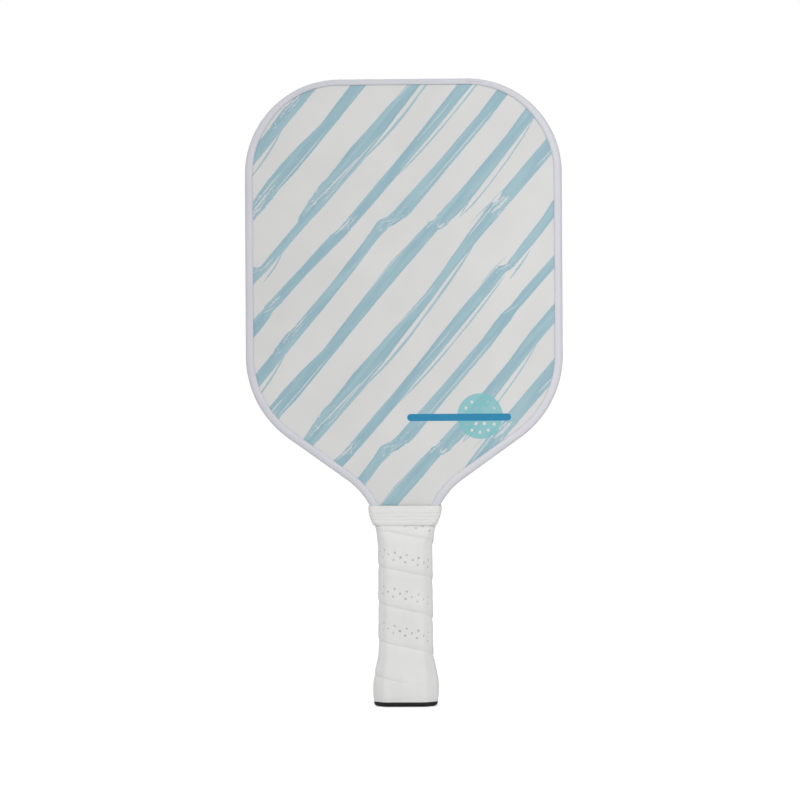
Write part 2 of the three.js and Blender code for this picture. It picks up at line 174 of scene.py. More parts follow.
def skin(rings, looped=False, fan=True):
    """Points and faces over rings of equal length. An open end is closed by a fan or, where
    the outline is hollowed and a fan would cross the hollow, by one face."""
    size = len(rings[0])
    points = np.vstack(rings)
    faces = []
    for r in range(len(rings) if looped else len(rings) - 1):
        low, high = r * size, ((r + 1) % len(rings)) * size
        for i in range(size):
            j = (i + 1) % size
            faces.append((low + i, low + j, high + j, high + i))
    top = (len(rings) - 1) * size
    if not looped and not fan:
        faces.append(tuple(range(size - 1, -1, -1)))
        faces.append(tuple(range(top, top + size)))
    elif not looped:
        points = np.vstack([points, rings[0].mean(0), rings[-1].mean(0)])
        for i in range(size):
            j = (i + 1) % size
            faces.append((j, i, len(points) - 2))
            faces.append((top + i, top + j, len(points) - 1))
    return points, faces


def piece(name, points, faces, material, nodes, sharp=40):
    mesh = bpy.data.meshes.new(name)
    mesh.from_pydata((np.asarray(points, float) * MM).tolist(), [], [tuple(f) for f in faces])
    mesh.update()
    mesh.polygons.foreach_set("use_smooth", [True] * len(mesh.polygons))
    mesh.set_sharp_from_angle(angle=math.radians(sharp))
    mesh.materials.append(material)
    obj = bpy.data.objects.new(name, mesh)
    scene.collection.objects.link(obj)
    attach(obj, "root")
    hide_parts(*nodes)
    return obj


# ---- node helpers -----------------------------------------------------------

def srgb(red, green, blue):
    """A linear colour from sRGB values of 0 to 255."""
    def linear(value):
        c = value / 255
        return c / 12.92 if c <= 0.04045 else ((c + 0.055) / 1.055) ** 2.4
    return (linear(red), linear(green), linear(blue), 1.0)


class Nodes:
    """Builds one material's nodes. A value is a socket or a plain number."""

    def __init__(self, name):
        self.material = bpy.data.materials.new(name)
        self.material.use_nodes = True
        self.tree = self.material.node_tree
        self.tree.nodes.clear()
        self.shader = self.tree.nodes.new("ShaderNodeBsdfPrincipled")
        output = self.tree.nodes.new("ShaderNodeOutputMaterial")
        self.tree.links.new(self.shader.outputs[0], output.inputs["Surface"])
        place = self.tree.nodes.new("ShaderNodeTexCoord")
        scaled = self.tree.nodes.new("ShaderNodeVectorMath")
        scaled.operation = "SCALE"
        self.tree.links.new(place.outputs["Object"], scaled.inputs[0])
        scaled.inputs["Scale"].default_value = 1 / MM
        self.place = scaled.outputs[0]

    def wire(self, value, socket):
        if isinstance(value, bpy.types.NodeSocket):
            self.tree.links.new(value, socket)
        else:
            socket.default_value = value

    def math(self, operation, *values, clamp=False):
        node = self.tree.nodes.new("ShaderNodeMath")
        node.operation = operation
        node.use_clamp = clamp
        for value, socket in zip(values, node.inputs):
            self.wire(value, socket)
        return node.outputs[0]

    def add(self, *values):
        total = values[0]
        for value in values[1:]:
            total = self.math("ADD", total, value)
        return total

    def mul(self, *values):
        total = values[0]
        for value in values[1:]:
            total = self.math("MULTIPLY", total, value)
        return total

    def split(self, vector):
        node = self.tree.nodes.new("ShaderNodeSeparateXYZ")
        self.wire(vector, node.inputs[0])
        return node.outputs

    def vector(self, x, y, z):
        node = self.tree.nodes.new("ShaderNodeCombineXYZ")
        for value, socket in zip((x, y, z), node.inputs):
            self.wire(value, socket)
        return node.outputs[0]

    def noise(self, scale, detail=2.0, where=None, stretch=(1, 1, 1), roughness=0.5):
        node = self.tree.nodes.new("ShaderNodeTexNoise")
        node.inputs["Scale"].default_value = scale
        node.inputs["Detail"].default_value = detail
        node.inputs["Roughness"].default_value = roughness
        source = self.place if where is None else where
        if stretch != (1, 1, 1):
            mapping = self.tree.nodes.new("ShaderNodeMapping")
            mapping.inputs["Scale"].default_value = stretch
            self.wire(source, mapping.inputs[0])
            source = mapping.outputs[0]
        self.wire(source, node.inputs["Vector"])
        return node.outputs[0]

    def voronoi(self, scale, feature="F1", randomness=1.0):
        node = self.tree.nodes.new("ShaderNodeTexVoronoi")
        node.feature = feature
        node.inputs["Scale"].default_value = scale
        node.inputs["Randomness"].default_value = randomness
        self.wire(self.place, node.inputs["Vector"])
        return node.outputs["Distance"]

    def ramp(self, value, low, high, out_low=0.0, out_high=1.0, smooth_step=True):
        node = self.tree.nodes.new("ShaderNodeMapRange")
        node.interpolation_type = "SMOOTHSTEP" if smooth_step else "LINEAR"
        for number, socket in zip((value, low, high, out_low, out_high), node.inputs):
            self.wire(number, socket)
        return node.outputs[0]

    def mix(self, share, first, second):
        node = self.tree.nodes.new("ShaderNodeMix")
        node.data_type = "RGBA"
        self.wire(share, node.inputs["Factor"])
        self.wire(first, [s for s in node.inputs if s.name == "A" and s.type == "RGBA"][0])
        self.wire(second, [s for s in node.inputs if s.name == "B" and s.type == "RGBA"][0])
        return [s for s in node.outputs if s.type == "RGBA"][0]

    def curve(self, value, points):
        """Looks value, from 0 to 1, up on straight lines through the points."""
        node = self.tree.nodes.new("ShaderNodeFloatCurve")
        line = node.mapping.curves[0]
        while len(line.points) < len(points):
            line.points.new(0.5, 0.5)
        for spot, (x, y) in zip(line.points, points):
            spot.location = (x, y)
            spot.handle_type = "VECTOR"
        node.mapping.update()
        self.wire(value, node.inputs["Value"])
        return node.outputs[0]

    def bump(self, height, distance, strength=1.0):
        """Height is from 0 to 1, and stands for that distance in millimetres."""
        node = self.tree.nodes.new("ShaderNodeBump")
        node.inputs["Strength"].default_value = strength
        node.inputs["Distance"].default_value = distance * MM
        self.wire(height, node.inputs["Height"])
        self.tree.links.new(node.outputs[0], self.shader.inputs["Normal"])

    def finish(self, color, roughness, **sockets):
        self.wire(color, self.shader.inputs["Base Color"])
        self.wire(roughness, self.shader.inputs["Roughness"])
        for name, value in sockets.items():
            self.wire(value, self.shader.inputs[name.replace("_", " ")])
        return self.material


# ---- materials --------------------------------------------------------------

def moulded(name, color, deeper, roughness, grain=1.0, **sockets):
    """Moulded plastic or rubber: a fine grain, faint flow and handling marks."""
    n = Nodes(name)
    cloud = n.noise(0.035, 3)
    fine = n.noise(2.6, 3)
    marks = n.noise(0.3, 4, stretch=(1, 1, 0.35))
    shade = n.mix(n.ramp(cloud, 0.35, 0.68), deeper, color)
    both = n.add(n.mul(fine, 0.5), n.mul(marks, 0.5))
    rough = n.ramp(both, 0.3, 0.7, roughness - 0.07, roughness + 0.08)
    n.bump(n.add(n.mul(fine, 0.7), n.mul(marks, 0.3)), 0.03 * grain)
    return n.finish(shade, rough, **sockets)


def leatherette():
    n = Nodes("wrap_leatherette")
    pores = n.voronoi(1.5, "DISTANCE_TO_EDGE")
    fine = n.noise(4.5, 3)
    cloud = n.noise(0.05, 3)
    crease_and_painted_shade = n.noise(0.5, 4, stretch=(1.0, 1.0, 0.16))
    shade = n.mix(n.ramp(cloud, 0.35, 0.7), srgb(237, 237, 236), srgb(242, 242, 241))
    # Where the creases run, the colour is darkened: this is painted shade in the creases, beside their real
    # dent in the bump below.
    shade = n.mix(n.ramp(crease_and_painted_shade, 0.62, 0.74, 0.0, 0.14), shade, srgb(216, 216, 214))
    height = n.add(n.mul(n.ramp(pores, 0.0, 0.16), 0.45), n.mul(fine, 0.25),
                   n.mul(n.ramp(crease_and_painted_shade, 0.6, 0.74, 1.0, 0.0), 0.16))
    n.bump(height, 0.05)
    return n.finish(shade, n.ramp(fine, 0.3, 0.7, 0.5, 0.64), Sheen_Weight=0.08)


def painted_hole_shade():
    n = Nodes("painted_hole_shade")
    speckle = n.noise(0.09, 2)
    fibre = n.noise(5.0, 3)
    # Both tones are darker than the wrap: this is painted shade for the bottom of each punched hole, with a
    # random speckle in it.
    shade = n.mix(n.ramp(speckle, 0.42, 0.6), srgb(211, 211, 209), srgb(189, 189, 188))
    n.bump(fibre, 0.05)
    return n.finish(shade, n.ramp(fibre, 0.3, 0.7, 0.75, 0.9))


def ribbed_rubber():
    n = Nodes("collar_rubber")
    fine = n.noise(3.2, 3)
    long_marks = n.noise(0.25, 3, stretch=(0.4, 0.4, 4))
    shade = n.mix(n.ramp(long_marks, 0.35, 0.7), srgb(234, 234, 231), srgb(239, 239, 236))
    n.bump(n.add(n.mul(fine, 0.4), n.mul(long_marks, 0.6)), 0.06)
    return n.finish(shade, n.ramp(fine, 0.3, 0.7, 0.48, 0.62))


def woven(name):
    n = Nodes(name)
    x, _, z = n.split(n.place)
    over = n.mul(n.math("SINE", n.mul(x, 3.1)), n.math("SINE", n.mul(z, 3.1)))
    fibre = n.noise(6, 3, stretch=(0.2, 1, 1))
    shade = n.mix(n.ramp(over, -0.5, 0.5), srgb(70, 72, 76), srgb(104, 106, 109))
    n.bump(n.add(n.mul(n.ramp(over, -1, 1), 0.7), n.mul(fibre, 0.3)), 0.08)
    return n.finish(shade, n.ramp(fibre, 0.3, 0.7, 0.32, 0.46), Coat_Weight=0.3)


def steel():
    n = Nodes("staple_steel")
    scratch = n.noise(3, 4, stretch=(0.15, 3, 3))
    shade = n.mix(n.ramp(scratch, 0.3, 0.7), srgb(160, 162, 165), srgb(196, 198, 200))
    n.bump(scratch, 0.02)
    return n.finish(shade, n.ramp(scratch, 0.3, 0.7, 0.26, 0.42), Metallic=1.0)


def cell_core():
    """Plain and pale: the core is a solid plate, and its cells aren't drawn."""
    n = Nodes("honeycomb")
    wax = n.noise(0.6, 3)
    shade = n.mix(n.ramp(wax, 0.35, 0.7), srgb(214, 216, 212), srgb(232, 234, 230))
    n.bump(n.noise(2.5, 3), 0.03)
    return n.finish(shade, 0.5, Subsurface_Weight=0.0)


# The printed strokes. They repeat: each next set of four lies STROKE_STEP
# further across the face and starts STROKE_SHIFT earlier along itself.
STROKE_ANGLE = math.radians(49.5)
STROKE_STEP = 94.5
STROKE_SHIFT = 109.0
STROKE_START = -217.0
STROKE_REACH = 400.0
# Where each stroke's upper and lower edges run: along, upper, lower.
STROKES = [
    [(0, -210.0, -203.4), (91, -210.6, -203.6), (112, -210.8, -203.8), (131, -212.2, -204.2),
     (140, -211.2, -204.2), (170, -211.0, -204.6), (200, -212.0, -205.6), (216, -213.0, -206.6),
     (226, -214.2, -206.2), (231, -211.4, -204.4), (241, -210.2, -201.2), (280, -209.0, -201.6),
     (320, -208.8, -201.6), (340, -210.0, -202.6), (348, -208.6, -203.4), (360, -209.2, -203.2),
     (400, -208.0, -202.2)],
    [(0, -188.0, -182.0), (66, -186.8, -180.8), (76, -189.0, -180.4), (89, -190.2, -181.0),
     (104, -190.4, -180.2), (120, -189.6, -180.2), (140, -187.6, -180.6), (160, -188.6, -181.0),
     (190, -189.8, -181.4), (211, -190.8, -181.4), (228, -189.6, -181.0), (245, -188.6, -181.2),
     (250, -187.2, -178.8), (264, -187.0, -177.6), (280, -186.4, -177.6), (320, -186.6, -179.4),
     (342, -188.2, -180.0), (400, -188.2, -180.0)],
    [(0, -160.4, -154.8), (31, -160.8, -154.4), (42, -161.6, -153.6), (45, -158.2, -153.2),
     (83, -158.4, -153.0), (86, -160.0, -152.8), (99, -161.8, -153.0), (112, -162.9, -153.8),
     (116, -162.2, -153.4), (140, -163.0, -152.4), (160, -162.4, -152.8), (180, -161.8, -154.0),
     (210, -160.8, -155.2), (230, -162.2, -156.6), (260, -165.2, -157.2), (279, -166.8, -156.8),
     (285, -163.6, -157.0), (293, -165.6, -156.8), (334, -165.6, -156.6), (400, -165.6, -156.6)],
    [(0, -139.8, -132.0), (16, -139.6, -132.0), (31, -139.6, -133.2), (61, -138.0, -132.2),
     (90, -136.8, -129.8), (97, -135.4, -129.4), (130, -135.6, -128.8), (160, -135.4, -128.8),
     (200, -136.6, -129.2), (220, -137.2, -129.6), (244, -136.8, -129.8), (253, -136.6, -130.4),
     (257, -133.4, -128.8), (280, -134.6, -128.4), (296, -135.0, -129.0), (306, -136.8, -130.0),
     (400, -137.2, -130.0)],
]
# Thin lines of paint beside the strokes, and gaps in them:
# along from, to; across at the start, middle and end; half width.
HAIRLINES = [
    (84, 124, -199.8, -201.2, -204.8, 0.6),
    (62, 90, -181.2, -181.0, -180.8, 0.6), (261, 300, -175.4, -174.3, -175.2, 0.5),
    (290, 341, -175.0, -176.4, -180.2, 0.5), (261, 282, -175.6, -177.4, -178.2, 0.5),
    (39, 62, -150.4, -151.0, -153.2, 0.55), (92, 150, -152.6, -152.6, -151.8, 0.8),
    (140, 200, -152.2, -150.6, -152.0, 0.9), (185, 252, -151.4, -153.2, -157.0, 0.85),
    (262, 300, -168.0, -166.6, -165.0, 0.3), (146, 206, -128.6, -127.0, -127.0, 0.6),
    (190, 252, -127.0, -127.4, -129.4, 0.6), (251, 274, -125.6, -126.0, -127.4, 0.55),
    (236, 262, -137.4, -137.4, -136.4, 0.35),
]
GAPS = [
    (128, 150, -210.8, -210.2, -210.0, 0.45), (132, 146, -208.6, -208.4, -208.4, 0.3),
    (225, 234, -213.0, -209.0, -206.2, 0.25), (227, 236, -208.0, -205.8, -204.6, 0.3),
    (340, 352, -209.4, -207.0, -205.0, 0.3), (250, 330, -204.0, -203.6, -203.4, 0.35),
    (64, 92, -184.2, -184.8, -185.2, 0.7), (70, 100, -186.8, -187.2, -187.2, 0.45),
    (60, 78, -182.6, -182.8, -182.4, 0.6), (84, 140, -182.4, -182.0, -182.4, 0.35),
    (186, 236, -189.0, -189.8, -188.4, 0.3), (242, 254, -187.6, -186.2, -185.4, 0.3),
    (246, 252, -182.6, -181.2, -180.4, 0.5), (40, 50, -159.4, -156.6, -155.6, 0.4),
    (44, 56, -156.8, -155.8, -155.6, 0.4), (88, 112, -158.2, -158.0, -157.6, 0.3),
    (103, 140, -157.4, -156.4, -155.4, 0.65), (112, 160, -154.6, -154.6, -153.8, 0.45),
    (178, 216, -162.0, -160.2, -158.8, 0.3), (236, 281, -163.8, -165.0, -166.0, 0.4),
    (254, 284, -163.2, -163.8, -164.2, 0.45), (276, 292, -161.8, -160.6, -160.2, 0.9),
    (279, 290, -164.2, -163.2, -162.4, 0.5), (316, 336, -159.4, -158.6, -158.6, 0.4),
    (24, 32, -137.6, -136.0, -134.6, 0.35), (28, 40, -137.0, -136.8, -136.2, 0.45),
    (92, 106, -135.0, -134.0, -133.6, 0.5), (97, 112, -132.6, -132.2, -132.2, 0.3),
    (250, 260, -135.4, -133.0, -131.2, 0.4), (170, 206, -133.6, -133.2, -133.0, 0.3),
]
# Where the brush skipped: the paint is chipped and its edges are torn.
SKIPS = [
    (220, 244, -209.0, -207.0, -205.0, 7), (116, 146, -210.0, -209.0, -209.0, 3),
    (60, 90, -184.0, -184.0, -184.0, 5), (242, 259, -186.0, -184.0, -182.0, 7),
    (36, 50, -157.0, -156.0, -155.0, 6), (92, 118, -159.0, -158.0, -158.0, 5),
    (274, 295, -163.0, -161.0, -160.0, 7), (20, 38, -136.0, -136.0, -135.0, 5),
    (92, 108, -133.0, -133.0, -133.0, 5), (249, 264, -135.0, -132.0, -130.0, 6),
]
MARK_BAR = (1.8, 68.3, 184.5, 2.3)
MARK_BALL = (48.4, 185.2, 14.6)


def sliver_group():
    """1 inside a thin curved sliver that tapers at both ends, 0 outside."""
    group = bpy.data.node_groups.new("paint_sliver", "ShaderNodeTree")
    names = ["Along", "Across", "From", "To", "Start", "Middle", "End", "Half"]
    for name in names:
        group.interface.new_socket(name, in_out="INPUT", socket_type="NodeSocketFloat")
    group.interface.new_socket("Inside", in_out="OUTPUT", socket_type="NodeSocketFloat")
    source = group.nodes.new("NodeGroupInput")
    target = group.nodes.new("NodeGroupOutput")
    given = {name: source.outputs[name] for name in names}

    def step(operation, *values, clamp=False):
        node = group.nodes.new("ShaderNodeMath")
        node.operation = operation
        node.use_clamp = clamp
        for value, socket in zip(values, node.inputs):
            if isinstance(value, bpy.types.NodeSocket):
                group.links.new(value, socket)
            else:
                socket.default_value = value
        return node.outputs[0]

    length = step("SUBTRACT", given["To"], given["From"])
    t = step("DIVIDE", step("SUBTRACT", given["Along"], given["From"]), length, clamp=True)
    left = step("SUBTRACT", 1.0, t)
    first = step("MULTIPLY", given["Start"], step("MULTIPLY", left, step("SUBTRACT", left, t)))
    middle = step("MULTIPLY", given["Middle"], step("MULTIPLY", step("MULTIPLY", t, left), 4.0))
    last = step("MULTIPLY", given["End"], step("MULTIPLY", t, step("SUBTRACT", t, left)))
    line = step("ADD", step("ADD", first, middle), last)
    taper = step("POWER", step("MULTIPLY", step("MULTIPLY", t, left), 4.0), 0.5)
    half = step("MULTIPLY", given["Half"], taper)
    off = step("ABSOLUTE", step("SUBTRACT", given["Across"], line))
    inside = step("MULTIPLY", step("SUBTRACT", half, off), 3.5)
    inside = step("MULTIPLY", step("ADD", inside, 0.3, clamp=True), step("GREATER_THAN", taper, 0.001))
    group.links.new(inside, target.inputs["Inside"])
    return group


SLIVER = sliver_group()


def printed_film(name, mirror):
    n = Nodes(name)
    x, _, z = n.split(n.place)
    if mirror:
        x = n.mul(x, -1.0)
    flat = n.vector(x, 0.0, z)
    c, s = math.cos(STROKE_ANGLE), math.sin(STROKE_ANGLE)
    along = n.add(n.mul(x, c), n.mul(z, s))
    across = n.math("SUBTRACT", n.mul(x, s), n.mul(z, c))
    lane = n.vector(n.mul(along, 0.1), across, 0.0)
    jitter = n.math("SUBTRACT", n.noise(0.55, 4, where=lane), 0.5)
    slow = n.math("SUBTRACT", n.noise(0.06, 2, where=flat), 0.5)
    across = n.add(across, n.mul(jitter, 0.5), n.mul(slow, 0.25))
    count = n.math("FLOOR", n.mul(n.math("SUBTRACT", across, STROKE_START), 1 / STROKE_STEP))
    across = n.math("SUBTRACT", across, n.mul(count, STROKE_STEP))
    along = n.add(along, n.mul(count, STROKE_SHIFT))
    def slivers(rows, across):
        total = None
        for row in rows:
            node = n.tree.nodes.new("ShaderNodeGroup")
            node.node_tree = SLIVER
            n.wire(along, node.inputs["Along"])
            n.wire(across, node.inputs["Across"])
            for value, socket in zip(row, list(node.inputs)[2:]):
                socket.default_value = value
            total = node.outputs[0] if total is None else n.math("MAXIMUM", total, node.outputs[0])
        return total

    skipped = slivers(SKIPS, across)
    tear = n.math("SUBTRACT", n.noise(1.1, 3, where=n.vector(n.mul(along, 0.4), across, 6.0)), 0.5)
    across = n.add(across, n.mul(tear, n.add(n.mul(skipped, 1.5), 0.5)))
    chip = n.noise(0.75, 2, where=n.vector(n.mul(along, 0.26), across, 12.0))
    chipped = n.mul(n.ramp(chip, 0.6, 0.67), skipped, 0.7)

    place = n.mul(along, 1 / STROKE_REACH)
    span = 100.0
    low_end = STROKE_START - 2

    def edge(stroke, side):
        points = [(row[0] / STROKE_REACH, (row[side] - low_end) / span) for row in stroke]
        return n.add(n.mul(n.curve(place, points), span), low_end)

    body = None
    for stroke in STROKES:
        depth = n.math("MINIMUM", n.math("SUBTRACT", across, edge(stroke, 1)),
                       n.math("SUBTRACT", edge(stroke, 2), across))
        body = depth if body is None else n.math("MAXIMUM", body, depth)
    inside = n.ramp(body, -0.16, 0.22)

    streaky = n.noise(1.1, 3, where=n.vector(n.mul(along, 0.045), across, 0.0), roughness=0.6)
    patches = n.noise(0.035, 2, where=n.vector(along, n.mul(across, 2.0), 4.0))
    dry = n.mul(n.ramp(streaky, 0.57, 0.67), n.ramp(patches, 0.45, 0.58), 0.6)
    near_edge = n.ramp(body, 0.2, 2.2, 1.0, 0.25)
    inside = n.mul(inside, n.math("SUBTRACT", 1.0, n.mul(dry, near_edge)),
                   n.math("SUBTRACT", 1.0, chipped))
    inside = n.mul(inside, n.math("SUBTRACT", 1.0, n.mul(slivers(GAPS, across), 0.78)))
    inside = n.math("MAXIMUM", inside, n.mul(slivers(HAIRLINES, across), 0.9))

    wash = n.noise(0.5, 3, where=n.vector(n.mul(along, 0.06), n.mul(across, 0.8), 9.0))
    paint = n.mix(n.ramp(wash, 0.3, 0.7), srgb(151, 187, 200), srgb(167, 199, 209))
    cloud = n.noise(0.02, 3, where=flat)
    base = n.mix(n.ramp(cloud, 0.35, 0.7), srgb(224, 224, 223), srgb(229, 229, 228))
    shade = n.mix(inside, base, paint)

    # A plain bar over a ball with holes, in place of any lettering.
    ball_x, ball_z, ball_radius = MARK_BALL
    dx, dz = n.math("SUBTRACT", x, ball_x), n.math("SUBTRACT", z, ball_z)
    far = n.math("SQRT", n.add(n.mul(dx, dx), n.mul(dz, dz)))
    ball = n.ramp(far, ball_radius - 0.2, ball_radius + 0.2, 1.0, 0.0)
    turn = n.math("ARCTAN2", dz, dx)
    for ring, holes, size in ((5.4, 6, 1.15), (10.4, 12, 0.95)):
        sector = 2 * math.pi / holes
        local = n.math("SUBTRACT", n.math("FLOORED_MODULO", n.add(turn, sector / 2), sector), sector / 2)
        side = n.mul(far, n.math("SINE", local))
        out = n.math("SUBTRACT", n.mul(far, n.math("COSINE", local)), ring)
        gap = n.math("SQRT", n.add(n.mul(side, side), n.mul(out, out)))
        ball = n.mul(ball, n.ramp(gap, size - 0.15, size + 0.15))
    shade = n.mix(n.mul(ball, 0.85), shade, srgb(126, 199, 203))
    left, right, bar_z, bar_half = MARK_BAR
    beyond = n.math("MAXIMUM", n.math("SUBTRACT", n.math("ABSOLUTE", n.math(
        "SUBTRACT", x, (left + right) / 2)), (right - left) / 2 - bar_half), 0.0)
    rise = n.math("SUBTRACT", z, bar_z)
    off = n.math("SQRT", n.add(n.mul(beyond, beyond), n.mul(rise, rise)))
    bar = n.ramp(off, bar_half - 0.15, bar_half + 0.15, 1.0, 0.0)
    shade = n.mix(bar, shade, srgb(0, 136, 182))

    grit = n.noise(2.2, 3)
    x_wave = n.math("SINE", n.mul(x, 4.4))
    z_wave = n.math("SINE", n.mul(z, 4.4))
    weave = n.ramp(n.mul(x_wave, z_wave), -1, 1)
    height = n.add(n.mul(grit, 0.5), n.mul(weave, 0.3))
    n.bump(height, 0.035)
    return n.finish(shade, n.ramp(grit, 0.3, 0.7, 0.44, 0.58))


guard_plastic = moulded("guard_plastic", srgb(224, 224, 231), srgb(220, 220, 228), 0.42, 0.6)
cap_plastic = moulded("cap_plastic", srgb(13, 15, 18), srgb(9, 11, 14), 0.5, 1.4)
pallet_plastic = moulded("pallet_plastic", srgb(160, 160, 156), srgb(148, 148, 144), 0.58)
vinyl = moulded("vinyl_tape", srgb(228, 228, 228), srgb(222, 222, 222), 0.38, 0.5)
wrap_material = leatherette()
hole_shade_material = painted_hole_shade()
collar_material = ribbed_rubber()
carried = {
    "core_panel": cell_core(),
    "front_face_sheet": woven("front_laminate"),
    "rear_face_sheet": woven("rear_laminate"),
    "front_graphic_film": printed_film("front_print", False),
    "rear_graphic_film": printed_film("rear_print", True),
    "rear_handle_pallet": pallet_plastic,
    "front_handle_pallet": pallet_plastic,
    "cap_staple_front": steel(),
    "finishing_tape": vinyl,
}
carried["cap_staple_rear"] = carried["grip_staple"] = carried["cap_staple_front"]
for node, material in carried.items():
    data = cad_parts[node].data
    data.materials.clear()
    data.materials.append(material)


# ---- edge guard -------------------------------------------------------------

def rim_line(step):
    """Points and inward normals along the rim, from the left throat over the top."""
    drop = (HEAD_HALF_WIDTH - NECK_HALF_WIDTH) / math.tan(SHOULDER_ANGLE)
    right = [(HEAD_HALF_WIDTH, LENGTH), (HEAD_HALF_WIDTH, SHOULDER_Z),
             (NECK_HALF_WIDTH, SHOULDER_Z - drop), (NECK_HALF_WIDTH, 60.0)]
    corners = np.array([(-x, z) for x, z in right[::-1]] + right)
    radii = [THROAT_RADIUS, SHOULDER_RADIUS, TOP_RADIUS, TOP_RADIUS, SHOULDER_RADIUS, THROAT_RADIUS]
    points, normals = [], []
    last = corners[0]
    for i, radius in enumerate(radii, 1):
        back = corners[i - 1] - corners[i]
        ahead = corners[i + 1] - corners[i]
        back, ahead = back / np.linalg.norm(back), ahead / np.linalg.norm(ahead)
        half = math.acos(np.clip(back @ ahead, -1, 1)) / 2
        start = corners[i] + back * radius / math.tan(half)
        end = corners[i] + ahead * radius / math.tan(half)
        middle = (back + ahead) / np.linalg.norm(back + ahead)
        centre = corners[i] + middle * radius / math.sin(half)
        run = start - last
        count = max(1, int(np.linalg.norm(run) / (4 * step)))
        for share in np.arange(count) / count:
            points.append(last + run * share)
            normals.append((-back[1], back[0]))
        first = math.atan2(*(start - centre)[::-1])
        sweep = (math.atan2(*(end - centre)[::-1]) - first + math.pi) % (2 * math.pi) - math.pi
        count = int(abs(sweep) * radius / step)
        facing = -math.copysign(1, sweep)
        for share in np.arange(count) / count:
            ray = np.array([math.cos(first + sweep * share), math.sin(first + sweep * share)])
            points.append(centre + radius * ray)
            normals.append(-ray * facing)
        last = end
    points, normals = np.array(points), np.array(normals)
    kept = points[:, 1] > GUARD_BOTTOM + 0.3
    return points[kept], normals[kept]


def build_guard():
    lip, face = GUARD_SLOT_HALF, GUARD_HALF
    half = [
        (0, GUARD_WEB), (lip - 0.6, GUARD_WEB), (lip, GUARD_WEB + 0.5), (lip, GUARD_LIP - 0.6),
        (lip + 0.02, GUARD_LIP - 0.12), (lip + 0.2, GUARD_LIP), (lip + 0.5, GUARD_LIP - 0.04),
        (lip + 0.76, GUARD_LIP - 0.22), (face - 0.16, GUARD_LIP - 0.6), (face - 0.05, GUARD_LIP - 1.2),
        (face, GUARD_LIP - 2.0), (face - 0.02, GUARD_LIP - 2.9), (face - 0.14, 1.55), (face - 0.42, 1.0),
        (face - 0.9, 0.55), (face - 1.6, 0.25), (face - 2.7, 0.08), (face - 4.2, 0.01), (2, 0), (0, 0),
    ]
    profile = np.array(half + [(-y, r) for y, r in half[::-1]][1:-1])
    points, normals = rim_line(1.4)
    wander = noise_field(11, 120, 1)
    rings = []
    for i, (p, inward) in enumerate(zip(points, normals)):
        spot = np.array([i * 119.0 / len(points)])
        swell = float(wander(spot, np.zeros(1))[0]) * 0.06
        narrow = 1.2 * float(smooth(-inward[1], 0.5, 0.98))
        ring = []
        for y, reach in profile:
            at = p + inward * (reach + (swell - narrow if reach > 3 else 0))
            ring.append((at[0], y, at[1]))
        rings.append(np.array(ring))
    mesh_points, faces = skin(rings, fan=False)
    return piece("edge_guard_moulding", mesh_points, faces, guard_plastic,
                 ["edge_guard"], sharp=55)


build_guard()


# ---- butt cap ---------------------------------------------------------------

def build_cap():
    rings = []
    half_width, half_depth = float(grip_half_width(CAP_RIM_TOP)), float(grip_half_depth(CAP_RIM_TOP))
    # The end face is dished, with a raised ring round a shallow recess.
    for inset, z in ((15.0, 0.5), (10.2, 0.5), (9.8, 0.42), (9.6, 0.1), (9.2, 0.0), (7.4, 0.0),
                     (7.1, 0.12), (6.6, 0.12), (6.3, 0.0)):
        rings.append(octagon(half_width - inset, half_depth - inset,
                             max(0.8, RIM_BEVEL - OFFSET_BEVEL * inset), 3.0, z))
    for turn in np.radians(np.linspace(0, 90, 9)):
        tuck = CAP_EDGE_RADIUS * (1 - math.sin(turn))
        z = CAP_EDGE_RADIUS * (1 - math.cos(turn))
        rings.append(octagon(half_width - tuck, half_depth - tuck, RIM_BEVEL - OFFSET_BEVEL * tuck, 5, z))
    rings.append(octagon(half_width - 0.05, half_depth - 0.05, RIM_BEVEL, 5, CAP_RIM_TOP - 0.05))
    less = WRAP + GAP
    for z in (CAP_RIM_TOP, 5, 8, 12, 16, 20, 24, 28, 32, STEP_Z - 0.2):
        bevel = float(grip_bevel(z)) - OFFSET_BEVEL * less
        width, depth = float(grip_half_width(z)) - less, float(grip_half_depth(z)) - less
        rings.append(octagon(width, depth, bevel, 1, z))
    for z in (STEP_Z - 0.2, 20, CAP_FLOOR):
        rings.append(octagon(14.0, 10.1, 2.6, 0.6, z))
    points, faces = skin(rings)
    return piece("butt_cap_moulding", points, faces, cap_plastic, ["butt_cap"], sharp=50)


build_cap()


# ---- collar -----------------------------------------------------------------

def throat_ring(z, more, **spread):
    wrap_z = min(z, GRIP_TOP)
    width = max(float(grip_half_width(wrap_z)), neck_half_width(z, 0))
    share = float(smooth(z, GRIP_TOP, GRIP_TOP + 3.5))
    depth = float(grip_half_depth(wrap_z)) * (1 - share) + GUARD_HALF * share
    return octagon(width + more, depth + more, throat_bevel(z) + OFFSET_BEVEL * more, 2 + more, z,
                   **spread)


def throat_bevel(z):
    return float(GRIP_BEVEL + (2.6 - GRIP_BEVEL) * thinning(z) - smooth(z, GRIP_TOP - 6, GRIP_TOP))


COLLAR_SIDE_AT = [115.4, 116.2, 117.5, 120.0, 122.3, 124.0, 126.0, 128.2]
COLLAR_SIDE = [19.6, 20.05, 20.75, 21.85, 22.55, 22.9, 23.05, 22.95]
COLLAR_FACE = [11.95, 12.25, 12.35, 11.7, 11.1, 10.65, 10.1, 9.6]
COLLAR_GROOVES = [115.4, 119.2, 121.4, 123.5, 128.2]


